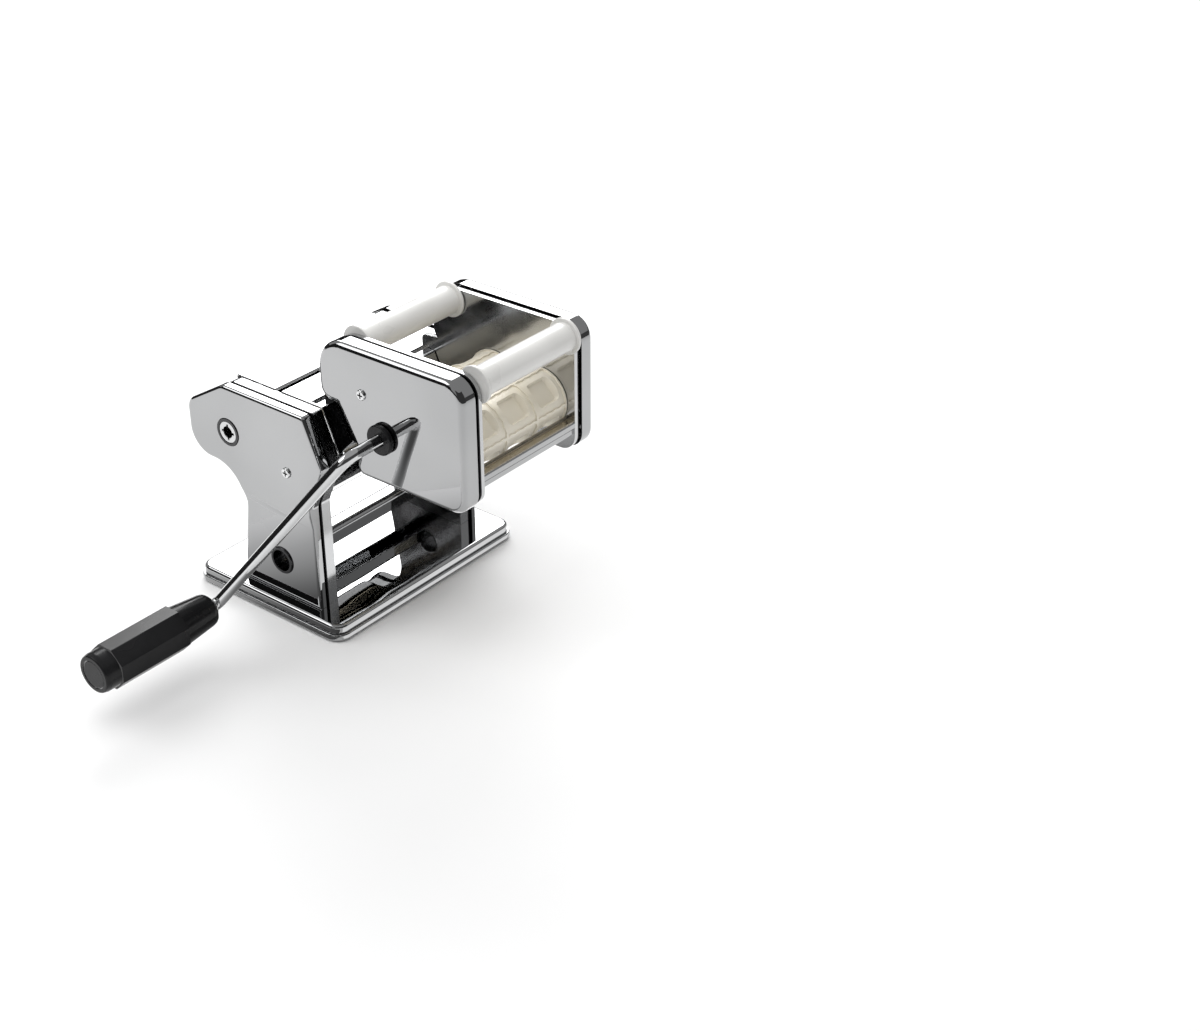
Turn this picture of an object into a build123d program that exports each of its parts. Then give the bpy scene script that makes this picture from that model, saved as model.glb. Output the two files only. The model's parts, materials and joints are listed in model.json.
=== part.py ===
from build123d import *
from math import cos, pi, radians, sin
import os

# Hand cranked ravioli maker: a sheet metal pasta machine on a pressed base, with a ravioli attachment
# hooked on its front and a crank in the attachment.
# Millimetres. +Z is up, +X runs along the rollers, the crank is on the -X side and the attachment on the -Y side.
# The origin is the centre of the underside of the base.

# ---- driving dimensions: general
SHEET = 1.2                 # wall of the pressed covers and casings
FRAME_WALL = 1.5            # wall of the load carrying side frames
RUN_GAP = 0.05              # radial clearance of shafts in bearings
SEAT_GAP = 0.3              # clearance between pieces that seat loosely
OVERCUT = 1.0               # how far a cutter stands past the piece it cuts
OVERLAP = 1.0               # how far the parts of one solid run into each other

# ---- driving dimensions: base
BASE_LENGTH = 211.0
BASE_DEPTH = 161.0
BASE_HEIGHT = 14.0
BASE_CORNER = 13.0
BEAD_HEIGHT = 7.0           # height of the lower, wider bead
BEAD_STEP = 2.2             # how far the upper bead stands in from the lower one
BEAD_GROOVE = 0.8
BEAD_GROOVE_DEPTH = 0.7
LOWER_BEAD_EDGE = 2.6
UPPER_BEAD_EDGE = 3.0
BASE_WALL = 1.5
BASE_LIP = 4.0              # width of the lip turned in under the base
SHARPEST_CORNER = 2.0
PAD_THICKNESS = 2.0
PAD_MARGIN = 5.0
PAD_PROUD = 0.6             # how far the pad carries the pressed rim off the table

# ---- driving dimensions: machine sides
INNER_WIDTH = 145.0         # clear length of the rollers, between the side frames
FRAME_FLANGE = 10.4         # depth of the inner frame's rim
CASING_DEPTH = 10.0         # depth of the outer casing
RIM_GROOVE = 0.9            # dark line between frame rim and casing
CASING_EDGE = 3.0           # bend radius round the casing's face
FRAME_INSET = 1.0           # how far the frame's outline lies inside the casing's
LEG_JOGGLE = 2.0            # step in of the leg's face
JOGGLE_TOP = 98.0
JOGGLE_BOTTOM = 86.0
JOGGLE_SECTIONS = 4

TOP = 183.0                 # top of the machine
FRONT = -47.5               # top front corner
NOSE_Y = -64.5              # foremost point under the chamfer
NOSE_Z = 142.0
LEG_FRONT = -49.0
LEG_FRONT_Z = 105.0
LEG_BACK = 36.0
WAIST_Y = 22.0
WAIST_Z = 113.0
WAIST_RISE = 1.5            # how much the roller housing's underside rises towards the back
LOBE_BACK = 81.5            # back of the roller housing
LOBE_SHOULDER_Z = 158.0
TOP_BACK = 40.0
SIDE_OUTLINE_RADII = (4.0, 7.0, 9.0, 0.0, 0.0, 30.0, 22.0, 12.0, 12.0)

# ---- driving dimensions: covers
COVER_BACK = 44.5
COVER_SLOT_Y = -0.5         # middle of the open slot between the two covers
COVER_SLOT = 4.0
HOOK_SLOT_Y = -36.5
HOOK_SLOT_DEPTH = 5.6
COVER_RIB_Y = -18.4
COVER_RIB = 1.2
COVER_HEM = 16.0            # how far the cover's back edge turns down
COVER_SIDE_GAP = 0.3
COVER_BEND = 1.5
COVER_LIP = 7.0             # how far the edges at the open slot turn down
HOOK_SLOT_END = 2.0         # what stays of the cover at each end of the hook slot
UNDER_PANEL_Z = 113.0       # where the front panel ends, under the nose
UNDER_PANEL_Y = -47.0

# ---- driving dimensions: stretcher and tie rods
STRETCHER_Y = 1.0
STRETCHER_Z = 45.0
STRETCHER_DEPTH = 18.0
STRETCHER_HEIGHT = 13.0
STRETCHER_BEND = 4.0
TIE_ROD_R = 4.0
CASING_SCREW_AT = (-25.7, 129.5)
TIE_ROD_PLACES = (CASING_SCREW_AT, (8.0, 92.0), (12.0, 170.0))
SCREW_HEAD_R = 4.2
SCREW_HEAD_HEIGHT = 1.6
SCREW_SHANK_R = 2.0
SCREW_HEAD_EDGE = 0.9
SCREW_ROOT = 0.1            # how far the shank runs into the head
SCREW_REACH = 12.0          # how far a screw goes into its tie rod
TAPPED_DEPTH = 14.0
CROSS_SLOT = 1.1
CROSS_SLOT_DEPTH = 1.0
CROSS_SLOT_SHARE = 0.6      # of the head's radius

# ---- driving dimensions: table clamp hole
CLAMP_Y = -9.5
CLAMP_Z = 45.0
CLAMP_BORE_R = 9.0
CLAMP_WALL = 1.2
CLAMP_LIP = 1.4
CLAMP_LIP_ROUNDING = 0.98

# ---- driving dimensions: roller train
ROLLER_Y = 36.6
ROLLER_Z = 143.8
ROLLER_R = 12.1
ROLLER_TEETH = 19
ROLLER_MODULE = 1.3
ROLLER_END_GAP = 0.5
JOURNAL_R = 7.0
HUB_R = 9.0                 # the driven end, seen at the casing
HUB_PROUD = 0.4             # how far the hub stands proud of the casing
HUB_RING_R = 11.5
HUB_RING_PROUD = 0.7
SOCKET_R = 4.8              # bore for the crank
SOCKET_DEPTH = 24.0
KEY_SLOTS = 4
KEY_SLOT_WIDTH = 1.6
KEY_SLOT_R = 6.6
GAP_TRAVEL = 2.0            # how far the gap roller moves from its closest setting
GAP_JOURNAL_R = 6.5
GAP_BORE_R = 5.0
BUSH_WALL = 2.5
BUSH_FLANGE = 1.0
BUSH_FLANGE_WIDTH = 1.6
JOURNAL_PROUD = 0.5         # how far a roller's journal stands out of its gear
GEAR_WIDTH = 7.0
GEAR_GAP = 1.0
# a tooth's flank: heights over the pitch circle in modules, half widths in shares of the pitch
TOOTH_FLANK = ((-1.2, 0.355), (-0.45, 0.285), (0.0, 0.235), (0.5, 0.17), (0.95, 0.095))
BLOCK_WIDTH = 23.0
BLOCK_HEIGHT = 24.0
BLOCK_THICKNESS = 5.0
BLOCK_GUIDE_HEIGHT = 15.0
BLOCK_CORNER = 2.0
CAM_THICKNESS = 3.0
CAM_R = 7.0
ADJUST_SHAFT_R = 2.5
DIAL_SWEEP = 320.0          # degrees from the closest to the widest setting
FOLLOWER_R = 1.5
FOLLOWER_PROUD = 3.0        # how far the follower pin stands past the cam
CAM_POINTS = 24
CUP_DEPTH = 4.0

# ---- driving dimensions: scrapers and roller guard
SCRAPER = 1.0
SCRAPER_DROP = 12.3         # height of the blades' edges under the rollers' axis
SCRAPER_SIDE = 4.4          # how far outside the rollers' axes the drive blade's edge stands
SCRAPER_FOOT_DROP = 24.0
SCRAPER_FOOT = 7.0
SCRAPER_LEAN = 1.5          # how far the blade's root stands out from its edge
SCRAPER_BEND = 1.5
GAP_SCRAPER_DROP = 13.0
GUARD_INSET = 2.6
GUARD_TOP_Z = 153.0
GUARD_FOOT_Y = 62.0
GUARD_BEND = 12.0

# ---- driving dimensions: thickness knob
KNOB_R = 14.5
KNOB_LENGTH = 20.0
KNOB_FLUTES = 10
KNOB_FLUTE_R = 2.2
KNOB_FLUTE_OUT = 0.8        # how far outside the knob the flutes' axes stand
KNOB_SKIRT = 5.0            # plain length behind the flutes
KNOB_DOME = 3.0
KNOB_GAP = 0.5
KNOB_END_WALL = 3.0
DIAL_RING_R = 17.0
DIAL_RING = 1.5
DIAL_RING_EDGE = 0.5
DIAL_SLEEVE = 2.0           # wall of the sleeve that guides the shaft, and its length inside the casing
DIAL_MARKS = 9
DIAL_MARK_WIDTH = 0.8
DIAL_MARK_DEPTH = 0.5
DIAL_MARK_LENGTH = 2.2
SHAFT_BUSH_R = 4.5
SHAFT_END_GAP = 0.5

# ---- driving dimensions: attachment
ATT_HALF = 73.5             # outer face of each cap
CAP_DEPTH = 16.2
CAP_EDGE = 5.0
CAP_WALL = 1.2
ATT_PLATE_FLANGE = 4.6
ATT_GROOVE = 0.9
ATT_INSET = 0.9
ATT_TOP = 244.5
ATT_BOTTOM = 138.0
ATT_FRONT = -189.0
ATT_BACK = -46.5
ATT_TOP_FALL = 1.5          # how much the top edge falls towards the back
ATT_LOBE = 50.0             # height of the back lobe
ATT_LOBE_FALL = 2.0
ATT_SHOULDER_IN = 18.0      # how far forward of the back the shoulder, the waist and the foot stand
ATT_WAIST_IN = 37.0
ATT_FOOT_IN = 30.0
ATT_WAIST_RISE = 19.0       # height of the waist over the underside
ATT_OUTLINE_RADII = (25.0, 11.0, 7.0, 8.0, 8.0, 15.0, 17.0)
HOOK_DROP = 9.0
HOOK_WIDTH = 4.6
HOOK_PLATE = 1.5
HOOK_ROOT_IN = 20.0         # where the tongue leaves the plate, forward of the back and under the top
HOOK_ROOT_DROP = 48.0
HOOK_ARM_DROP = 51.0
HOOK_FOOT_IN = 45.0
HOOK_FOOT_RISE = 14.0
HOOK_NOSE_GAP = 0.7         # clearance to the front cover's edge and chamfer
HOOK_CHAMFER_GAP = 0.6
HOOK_RADII = (0, 4.0, 1.0, 1.0, 1.0, 0.5, 3.0, 0)
POST_R = 4.0
CAP_SCREW_LENGTH = 14.0

# ---- driving dimensions: drums
DRUM_Y = -109.5
DRUM_Z = 178.0
DRUM_TEETH = 24
DRUM_MODULE = 2.0
DRUM_RIDGE_CLEARANCE = 0.2
RIDGE_HEIGHT = 1.3
RIDGE_WIDTH = 2.2
ZIGZAG = 1.0
RIDGE_ROOT = 1.0            # how deep the ridges are rooted in the drum
ZIGZAGS_ROUND = 16          # waves of a ridge round the drum
ZIGZAGS_ALONG = 4           # waves of a ridge along one pocket
POCKETS_ROUND = 4
POCKETS_ALONG = 3
POCKET_DEPTH = 5.0
POCKET_MARGIN = 4.2
POCKET_END_MARGIN = 5.46    # round the drum, from a ridge to a pocket
POCKET_CORNER = 3.5
POCKET_TAPER = 0.72         # size of a pocket's floor over its mouth
DRUM_END_GAP = 0.6
DRUM_GEAR_GAP = 2.0
DRUM_SHAFT_R = 8.5
DRUM_SHAFT_PROUD = 1.0      # how far a drum's shaft stands out of its gear
SOCKET_IN = 0.5             # how far inside the cap's face the crank's socket begins
DRUM_IDLE_JOURNAL_R = 5.0

# ---- driving dimensions: guide rollers and bars
GUIDE_R = 11.5
GUIDE_FLANGE_R = 14.5
GUIDE_FLANGE = 2.5
GUIDE_FLANGE_EDGE = 0.8
GUIDE_BORE_R = 3.0
REAR_GUIDE_AT = (-67.0, 233.0)
FRONT_GUIDE_AT = (-181.0, 235.0)
BAR_TOP_Z = 165.0
BAR_HEIGHT = 11.5
BAR_STEP = 1.6
BAR_DEPTH = 7.0
BAR_GROOVE = 1.2            # height of the groove along the bar
BAR_RADII = (0.5, 1.5, 0.5, 0.5, 1.5, 0.5, 0, 0)
DRUM_SCRAPER_GAP = 1.2
DRUM_SCRAPER_BEND = 0.8
DRUM_SCRAPER_ANGLE = 24.0   # how far below the drum's axis the scraper's edge stands, in degrees round it
ATT_SCREW_AT = (-90.6, 207.7)

# ---- driving dimensions: crank
CRANK_ROD_R = 4.75
CRANK_INSERT = 22.0         # how far the rod reaches into its socket
CRANK_BEND_X = -110.0
CRANK_END = (-168.5, -19.0, 47.5)
CRANK_BEND_R = 15.0
CRANK_ELBOW_R = 7.0
KEY_START = 6.0             # how far inside the socket the crank's keys begin
COLLAR_R = 12.0
COLLAR_THICKNESS = 4.0
COLLAR_GAP = 0.5
COLLAR_EDGE = 1.2
SPINDLE_R = 3.4
GRIP_LENGTH = 110.0
GRIP_NECK_R = 12.0
GRIP_NECK = 5.0             # length of the neck's rounded end
GRIP_NECK_RISE = 1.2
GRIP_R = 16.2
GRIP_FLATS = 33.6           # across the flats of the eight sided middle
GRIP_FLAT_FROM = 34.0       # from the neck end to where the eight flats begin
GRIP_FLAT_LENGTH = 63.0
GRIP_FLAT_EDGE = 1.6
GRIP_SIDES = 8
GRIP_END = 4.0              # length of the last taper, and how far it has come in at its start and its end
GRIP_END_START = 0.6
GRIP_END_FALL = 1.6
GRIP_RADII = (0, 4.0, 4.0, 8.0, 2.0, 1.5, 0)
GRIP_CAP_R = 11.0
GRIP_CAP = 2.5
GRIP_CAP_EDGE = 0.8
ELBOW_RUN = 5.2             # straight end of the rod past the elbow's corner
FERRULE = 2.5
FERRULE_R = 7.4
FERRULE_EDGE = 0.6
SPINDLE_SHORT = 12.0        # how far the spindle stops short of the grip's end

# ---- derived places
SIDE_X = INNER_WIDTH / 2
FRAME_RIM_X = SIDE_X + FRAME_FLANGE
CASING_INNER_X = FRAME_RIM_X + RIM_GROOVE
CASING_X = CASING_INNER_X + CASING_DEPTH
FRAME_OUT_X = SIDE_X + FRAME_WALL
GAP_ROLLER_Y = ROLLER_Y + ROLLER_TEETH * ROLLER_MODULE
DRIVEN_Y = DRUM_Y - DRUM_TEETH * DRUM_MODULE
DRUM_PITCH_R = DRUM_TEETH * DRUM_MODULE / 2
DRUM_RIDGE_R = DRUM_PITCH_R - DRUM_RIDGE_CLEARANCE
DRUM_R = DRUM_RIDGE_R - RIDGE_HEIGHT
CAP_INNER_X = ATT_HALF - CAP_DEPTH
ATT_RIM_X = CAP_INNER_X - ATT_GROOVE
ATT_PLATE_X = ATT_RIM_X - ATT_PLATE_FLANGE      # inner face of the attachment's plates
DRUM_HALF = ATT_PLATE_X - DRUM_END_GAP
NIP_Y = (DRUM_Y + DRIVEN_Y) / 2
GRIP_X = CRANK_END[0] - ELBOW_RUN - FERRULE - SEAT_GAP      # the grip's neck end
SPINDLE_END = GRIP_X - GRIP_LENGTH + SPINDLE_SHORT
GEAR_X = FRAME_OUT_X + SEAT_GAP + BLOCK_THICKNESS + GEAR_GAP
DRUM_GEAR_X = ATT_RIM_X + DRUM_GEAR_GAP
SHAFT_END = CASING_X + DIAL_RING + KNOB_LENGTH - KNOB_END_WALL
SOCKET_X = -ATT_HALF + SOCKET_IN                            # where the crank's socket begins


def side_outline():
    """Corners of the machine's side, front top first, going down the front and up the back."""
    corners = ((FRONT, TOP), (NOSE_Y, NOSE_Z), (LEG_FRONT, LEG_FRONT_Z), (LEG_FRONT, BASE_HEIGHT),
               (LEG_BACK, BASE_HEIGHT), (WAIST_Y, WAIST_Z), (LOBE_BACK, WAIST_Z + WAIST_RISE),
               (LOBE_BACK, LOBE_SHOULDER_Z), (TOP_BACK, TOP))
    return outline_face(corners, SIDE_OUTLINE_RADII)


def attachment_outline():
    """Corners of the attachment's cap, back lobe first, going down the back and up the front."""
    top = ATT_TOP - ATT_TOP_FALL
    corners = ((ATT_BACK, top), (ATT_BACK, top - ATT_LOBE),
               (ATT_BACK - ATT_SHOULDER_IN, top - ATT_LOBE - ATT_LOBE_FALL),
               (ATT_BACK - ATT_WAIST_IN, ATT_BOTTOM + ATT_WAIST_RISE), (ATT_BACK - ATT_FOOT_IN, ATT_BOTTOM),
               (ATT_FRONT, ATT_BOTTOM), (ATT_FRONT, ATT_TOP))
    return outline_face(corners, ATT_OUTLINE_RADII)


def outline_face(corners, radii):
    """A face in the YZ plane from corner points with rounded corners."""
    return make_face(Plane.YZ * FilletPolyline(*corners, radius=list(radii), close=True))


def inset(face, amount):
    return offset(face, amount=-amount, kind=Kind.INTERSECTION)


def slab(face, x_from, x_to):
    """The face, drawn at x = 0, as a slab between two places along X."""
    low, high = sorted((x_from, x_to))
    return extrude(Pos(low, 0, 0) * face, amount=high - low, dir=(1, 0, 0))


def rod(radius, x_from, x_to, y, z):
    """A round bar along X."""
    low, high = sorted((x_from, x_to))
    return Pos((low + high) / 2, y, z) * Rot(0, 90, 0) * Cylinder(radius, high - low)


def tube(outer, inner, x_from, x_to, y, z):
    low, high = sorted((x_from, x_to))
    return rod(outer, low, high, y, z) - rod(inner, low - OVERCUT, high + OVERCUT, y, z)


def bar(x_from, x_to, y_from, y_to, z_from, z_to):
    """A rectangular block between two corners."""
    size = (abs(x_to - x_from), abs(y_to - y_from), abs(z_to - z_from))
    centre = ((x_from + x_to) / 2, (y_from + y_to) / 2, (z_from + z_to) / 2)
    return Pos(*centre) * Box(*size)


def mirrored(shape):
    """The same piece on the other side of the machine."""
    return mirror(shape, about=Plane.YZ)


def pressed_block(outline, face_x, open_x, edge):
    """Solid inside a drawn sheet: the outline with a rounded edge at its face, which looks towards +X."""
    block = slab(outline, open_x, face_x)
    return fillet(block.faces().sort_by(Axis.X)[-1].edges(), edge)


def joggled(block):
    """The block with its leg stepped in: untouched above, moved in below, lofted through the step between."""
    reach = 2 * TOP
    moved = Pos(-LEG_JOGGLE, 0, 0) * block
    upper = block & bar(-reach, reach, -reach, reach, JOGGLE_TOP, reach)
    lower = moved & bar(-reach, reach, -reach, reach, 0, JOGGLE_BOTTOM)
    sections = []
    for index in range(JOGGLE_SECTIONS + 1):
        share = index / JOGGLE_SECTIONS
        level = JOGGLE_BOTTOM + share * (JOGGLE_TOP - JOGGLE_BOTTOM)
        cut = section(block, section_by=Plane.XY.offset(level))
        sections.append(Pos(-LEG_JOGGLE * (1 - share), 0, 0) * cut.faces()[0])
    return upper + lower + loft(sections, ruled=True)


def casing():
    """Outer chromed casing of one side, with its face towards +X and open towards the frame."""
    outer = joggled(pressed_block(side_outline(), CASING_X, CASING_INNER_X, CASING_EDGE))
    inner = joggled(pressed_block(inset(side_outline(), SHEET), CASING_X - SHEET, FRAME_RIM_X - LEG_JOGGLE,
                                  CASING_EDGE - SHEET))
    shell = outer - inner - bar(0, CASING_INNER_X, LEG_FRONT - TOP, LOBE_BACK + TOP, 0, 2 * TOP)
    shell -= rod(CLAMP_BORE_R + CLAMP_WALL + RUN_GAP, SIDE_X, CASING_X + OVERCUT, CLAMP_Y, CLAMP_Z)
    return shell


def near_casing():
    shell = casing()
    shell -= rod(HUB_RING_R + RUN_GAP, SIDE_X, CASING_X + OVERCUT, ROLLER_Y, ROLLER_Z)
    shell -= rod(SCREW_SHANK_R + RUN_GAP, SIDE_X, CASING_X + OVERCUT, *CASING_SCREW_AT)
    return mirrored(shell)


def far_casing():
    shell = casing()
    shell -= rod(ADJUST_SHAFT_R + DIAL_SLEEVE, SIDE_X, CASING_X + OVERCUT, GAP_ROLLER_Y, ROLLER_Z)
    shell -= rod(SCREW_SHANK_R + RUN_GAP, SIDE_X, CASING_X + OVERCUT, *CASING_SCREW_AT)
    return shell


def frame(drive_bush_r):
    """Inner side frame: a plate at the rollers' ends with a rim turned outwards."""
    outline = inset(side_outline(), FRAME_INSET)
    outer = slab(outline, SIDE_X, FRAME_RIM_X)
    hollow = slab(inset(outline, FRAME_WALL), FRAME_OUT_X, FRAME_RIM_X + OVERCUT)
    foot = bar(SIDE_X, FRAME_RIM_X, LEG_FRONT + FRAME_INSET, LEG_BACK - FRAME_INSET,
               BASE_HEIGHT, BASE_HEIGHT + FRAME_INSET + FRAME_WALL)
    plate = outer - hollow + foot
    plate -= rod(CLAMP_BORE_R + CLAMP_WALL + RUN_GAP, SIDE_X - OVERCUT, FRAME_OUT_X + OVERCUT, CLAMP_Y, CLAMP_Z)
    plate -= rod(drive_bush_r + RUN_GAP, SIDE_X - OVERCUT, FRAME_OUT_X + OVERCUT, ROLLER_Y, ROLLER_Z)
    window = BLOCK_GUIDE_HEIGHT / 2 + SEAT_GAP
    plate -= bar(SIDE_X - OVERCUT, FRAME_OUT_X + OVERCUT, GAP_ROLLER_Y - window,
                 GAP_ROLLER_Y + window + GAP_TRAVEL, ROLLER_Z - window, ROLLER_Z + window)
    for y, z in TIE_ROD_PLACES:
        plate -= rod(SCREW_SHANK_R + RUN_GAP, SIDE_X - OVERCUT, FRAME_OUT_X + OVERCUT, y, z)
    return plate


# ---- sheets and base

def strip(points, radius, thickness, half_width):
    """A bent sheet along X from the middle line of its section."""
    path = Plane.YZ * FilletPolyline(*points, radius=radius)
    return slab(trace_face(path, thickness), -half_width, half_width)


def trace_face(path, thickness):
    """The outline of a sheet of some thickness whose middle follows the path."""
    wire = Wire(path.edges())
    sides = wire.offset_2d(thickness / 2, side=Side.BOTH, kind=Kind.INTERSECTION)
    return make_face(sides)


def base_slab(margin, z_from, z_to):
    outline = RectangleRounded(BASE_LENGTH - 2 * margin, BASE_DEPTH - 2 * margin,
                               max(BASE_CORNER - margin, SHARPEST_CORNER))
    return Pos(0, 0, z_from) * extrude(outline, amount=z_to - z_from)


def base_plate():
    """Pressed tray with two beads round its edge and a lip turned in under it."""
    groove_z = PAD_PROUD + BEAD_HEIGHT
    groove_in = BEAD_STEP + BEAD_GROOVE_DEPTH
    lower = base_slab(0, PAD_PROUD, groove_z)
    lower = fillet(lower.edges().group_by(Axis.Z)[0] + lower.edges().group_by(Axis.Z)[-1], LOWER_BEAD_EDGE)
    upper = base_slab(BEAD_STEP, groove_z - OVERLAP, BASE_HEIGHT)
    upper = fillet(upper.edges().group_by(Axis.Z)[-1], UPPER_BEAD_EDGE)
    groove = base_slab(-BEAD_STEP, groove_z - BEAD_GROOVE, groove_z)
    groove -= base_slab(groove_in, groove_z - BEAD_GROOVE - OVERCUT, groove_z + OVERCUT)
    tray = lower + upper - groove
    hollow = base_slab(groove_in + BASE_WALL, PAD_THICKNESS + SHEET, BASE_HEIGHT - BASE_WALL)
    neck = base_slab(PAD_MARGIN + BASE_LIP, PAD_THICKNESS - OVERCUT, BASE_HEIGHT - 2 * BASE_WALL)
    recess = base_slab(PAD_MARGIN - SEAT_GAP, -OVERCUT, PAD_THICKNESS)
    return tray - hollow - neck - recess


def base_pad():
    return base_slab(PAD_MARGIN, 0, PAD_THICKNESS)


def top_cover():
    """Cover behind the slot: flat top with its back edge turned down towards the rollers."""
    mid = SHEET / 2
    slot = COVER_SLOT_Y + COVER_SLOT / 2 + mid
    points = ((COVER_BACK - mid, TOP - COVER_HEM), (COVER_BACK - mid, TOP - mid), (slot, TOP - mid),
              (slot, TOP - COVER_LIP))
    return strip(points, COVER_BEND, SHEET, SIDE_X - COVER_SIDE_GAP)


def front_cover():
    """Cover in front of the slot: top, chamfered nose and the panel under it, with the slot for the hooks."""
    mid = SHEET / 2
    slot = COVER_SLOT_Y - COVER_SLOT / 2 - mid
    points = ((slot, TOP - COVER_LIP), (slot, TOP - mid), (FRONT + mid, TOP - mid), (NOSE_Y + mid, NOSE_Z),
              (UNDER_PANEL_Y + mid, UNDER_PANEL_Z))
    half = SIDE_X - COVER_SIDE_GAP
    cover = strip(points, COVER_BEND, SHEET, half)
    rib = rod(COVER_RIB, -half, half, COVER_RIB_Y, TOP - SHEET)
    reach = 2 * COVER_RIB
    cover += rib & bar(-half, half, COVER_RIB_Y - reach, COVER_RIB_Y + reach, TOP - SHEET - reach, TOP - SHEET / 2)
    slot_half = HOOK_SLOT_DEPTH / 2
    slot_end = half - HOOK_SLOT_END
    return cover - bar(-slot_end, slot_end, HOOK_SLOT_Y - slot_half, HOOK_SLOT_Y + slot_half,
                       TOP - SHEET - OVERCUT, TOP + OVERCUT)


def lower_stretcher():
    """Channel between the legs, open underneath."""
    mid = FRAME_WALL / 2
    back = STRETCHER_Y + STRETCHER_DEPTH / 2 - mid
    front = STRETCHER_Y - STRETCHER_DEPTH / 2 + mid
    low = STRETCHER_Z - STRETCHER_HEIGHT
    points = ((back, low), (back, STRETCHER_Z - mid), (front, STRETCHER_Z - mid), (front, low))
    return strip(points, STRETCHER_BEND, FRAME_WALL, SIDE_X)


def roller_guard():
    """Curved sheet round the back of the roller housing."""
    back = LOBE_BACK - GUARD_INSET
    low = WAIST_Z + GUARD_INSET + WAIST_RISE
    return strip(((back, GUARD_TOP_Z), (back, low), (GUARD_FOOT_Y, low)), GUARD_BEND, SHEET, SIDE_X)


def scraper(axis_y, side, drop):
    """Blade standing under a roller, on a foot turned towards the dough's way out."""
    edge_y = axis_y + side * SCRAPER_SIDE
    foot_z = ROLLER_Z - SCRAPER_FOOT_DROP
    root_y = edge_y + side * SCRAPER_LEAN
    points = ((root_y - side * SCRAPER_FOOT, foot_z), (root_y, foot_z), (edge_y, ROLLER_Z - drop))
    return strip(points, SCRAPER_BEND, SCRAPER, SIDE_X)


# ---- fasteners

def screw(face_x, length, y, z, direction):
    """Cross slotted screw whose head stands on a face; direction is the way its head looks along X."""
    head = rod(SCREW_HEAD_R, face_x, face_x + direction * SCREW_HEAD_HEIGHT, y, z)
    head = fillet(head.edges().group_by(Axis.X)[-1 if direction > 0 else 0], SCREW_HEAD_EDGE)
    top = face_x + direction * SCREW_HEAD_HEIGHT
    arm = SCREW_HEAD_R * CROSS_SLOT_SHARE
    deep = top - direction * CROSS_SLOT_DEPTH
    head -= bar(deep, top + direction, y - arm, y + arm, z - CROSS_SLOT / 2, z + CROSS_SLOT / 2)
    head -= bar(deep, top + direction, y - CROSS_SLOT / 2, y + CROSS_SLOT / 2, z - arm, z + arm)
    return head + rod(SCREW_SHANK_R, face_x + direction * SCREW_ROOT, face_x - direction * length, y, z)


def pair_of_screws(face_x, length, y, z):
    return [screw(face_x, length, y, z, 1), screw(-face_x, length, y, z, -1)]


def tie_rods():
    rods = []
    for y, z in TIE_ROD_PLACES:
        blank = rod(TIE_ROD_R, -SIDE_X, SIDE_X, y, z)
        blank -= rod(SCREW_SHANK_R + RUN_GAP, -SIDE_X - OVERCUT, -SIDE_X + TAPPED_DEPTH, y, z)
        blank -= rod(SCREW_SHANK_R + RUN_GAP, SIDE_X - TAPPED_DEPTH, SIDE_X + OVERCUT, y, z)
        rods.append(blank)
    return rods


def casing_screws():
    return pair_of_screws(CASING_X, CASING_X - SIDE_X + SCREW_REACH, *CASING_SCREW_AT)


def frame_screws():
    screws = []
    for y, z in TIE_ROD_PLACES[1:]:
        screws += pair_of_screws(FRAME_OUT_X, FRAME_WALL + SCREW_REACH, y, z)
    return screws


def clamp_bush(side):
    """Lined hole through casing and frame where a table clamp goes in."""
    outer = CLAMP_BORE_R + CLAMP_WALL
    face = CASING_X - LEG_JOGGLE
    body = rod(outer, SIDE_X, face + CLAMP_LIP, CLAMP_Y, CLAMP_Z)
    lip = rod(outer + CLAMP_LIP, face, face + CLAMP_LIP, CLAMP_Y, CLAMP_Z)
    lip = fillet(lip.edges().group_by(Axis.X)[-1], CLAMP_LIP_ROUNDING)
    ring = body + lip - rod(CLAMP_BORE_R, SIDE_X - OVERCUT, face + CLAMP_LIP + OVERCUT, CLAMP_Y, CLAMP_Z)
    return ring if side > 0 else mirrored(ring)


# ---- bearings

def bush(bore, outer, x_inner, x_outer, y, z):
    """Plain bush in a wall, with a flange on its outer end."""
    sign = 1 if x_outer > x_inner else -1
    body = tube(outer, bore, x_inner, x_outer, y, z)
    return body + tube(outer + BUSH_FLANGE_WIDTH, bore, x_outer - sign * BUSH_FLANGE, x_outer, y, z)


def hub_bush():
    return tube(HUB_RING_R, HUB_R + RUN_GAP, -SIDE_X, -CASING_X - HUB_RING_PROUD, ROLLER_Y, ROLLER_Z)


def drive_roller_bush():
    return bush(JOURNAL_R + RUN_GAP, JOURNAL_R + BUSH_WALL, SIDE_X, FRAME_OUT_X + BUSH_FLANGE,
                ROLLER_Y, ROLLER_Z)


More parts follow.
